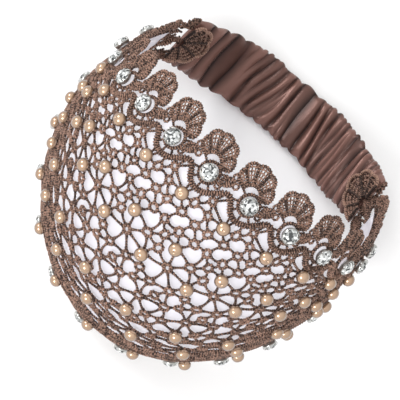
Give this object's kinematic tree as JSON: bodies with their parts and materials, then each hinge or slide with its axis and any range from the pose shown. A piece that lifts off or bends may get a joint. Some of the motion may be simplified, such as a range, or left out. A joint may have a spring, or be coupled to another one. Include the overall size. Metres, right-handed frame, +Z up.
{
  "type": "lace headband",
  "caption": "Wide guipure lace headband with fan-scalloped edges, half pearls and faceted stones on a sheer lining, closed at the nape by a ruched satin strap.",
  "frame": {"origin": "centre of the whole's box, at the height of the surface that it rests on", "axes": "+Z up from the surface; X from ear to ear, with the wearer's other ear at -X; +Y from the lace towards the strap"},
  "size_m": [0.1618, 0.1714, 0.1335],
  "materials": {
    "lace": "matt mauve-taupe embroidery cord, stitched",
    "lining": "sheer pale lavender cloth",
    "satin": "soft satin, mauve brown, semi-gloss along the folds",
    "stone": "clear cut stone in a silver claw cup",
    "pearl": "champagne pearl lustre",
    "setting": "polished silver-coloured cup and claws"
  },
  "bodies": {
    "root": {"lace_end_left": "lace", "lace_end_right": "lace", "lace_panel": "lace", "rhinestone_front_01": "stone", "rhinestone_front_02": "stone", "rhinestone_front_03": "stone", "rhinestone_front_04": "stone", "rhinestone_front_05": "stone", "rhinestone_front_06": "stone", "rhinestone_front_07": "stone", "rhinestone_front_08": "stone", "rhinestone_front_09": "stone", "rhinestone_front_10": "stone", "rhinestone_front_11": "stone", "rhinestone_front_12": "stone", "rhinestone_front_13": "stone", "rhinestone_front_14": "stone", "rhinestone_rear_01": "stone", "rhinestone_rear_02": "stone", "rhinestone_rear_03": "stone", "rhinestone_rear_04": "stone", "rhinestone_rear_05": "stone", "rhinestone_rear_06": "stone", "rhinestone_rear_07": "stone", "rhinestone_rear_08": "stone", "rhinestone_rear_09": "stone", "rhinestone_rear_10": "stone", "rhinestone_rear_11": "stone", "rhinestone_rear_12": "stone", "rhinestone_rear_13": "stone", "rhinestone_rear_14": "stone", "satin_strap": "satin", "sheer_lining": "lining"}
  },
  "joints": []
}
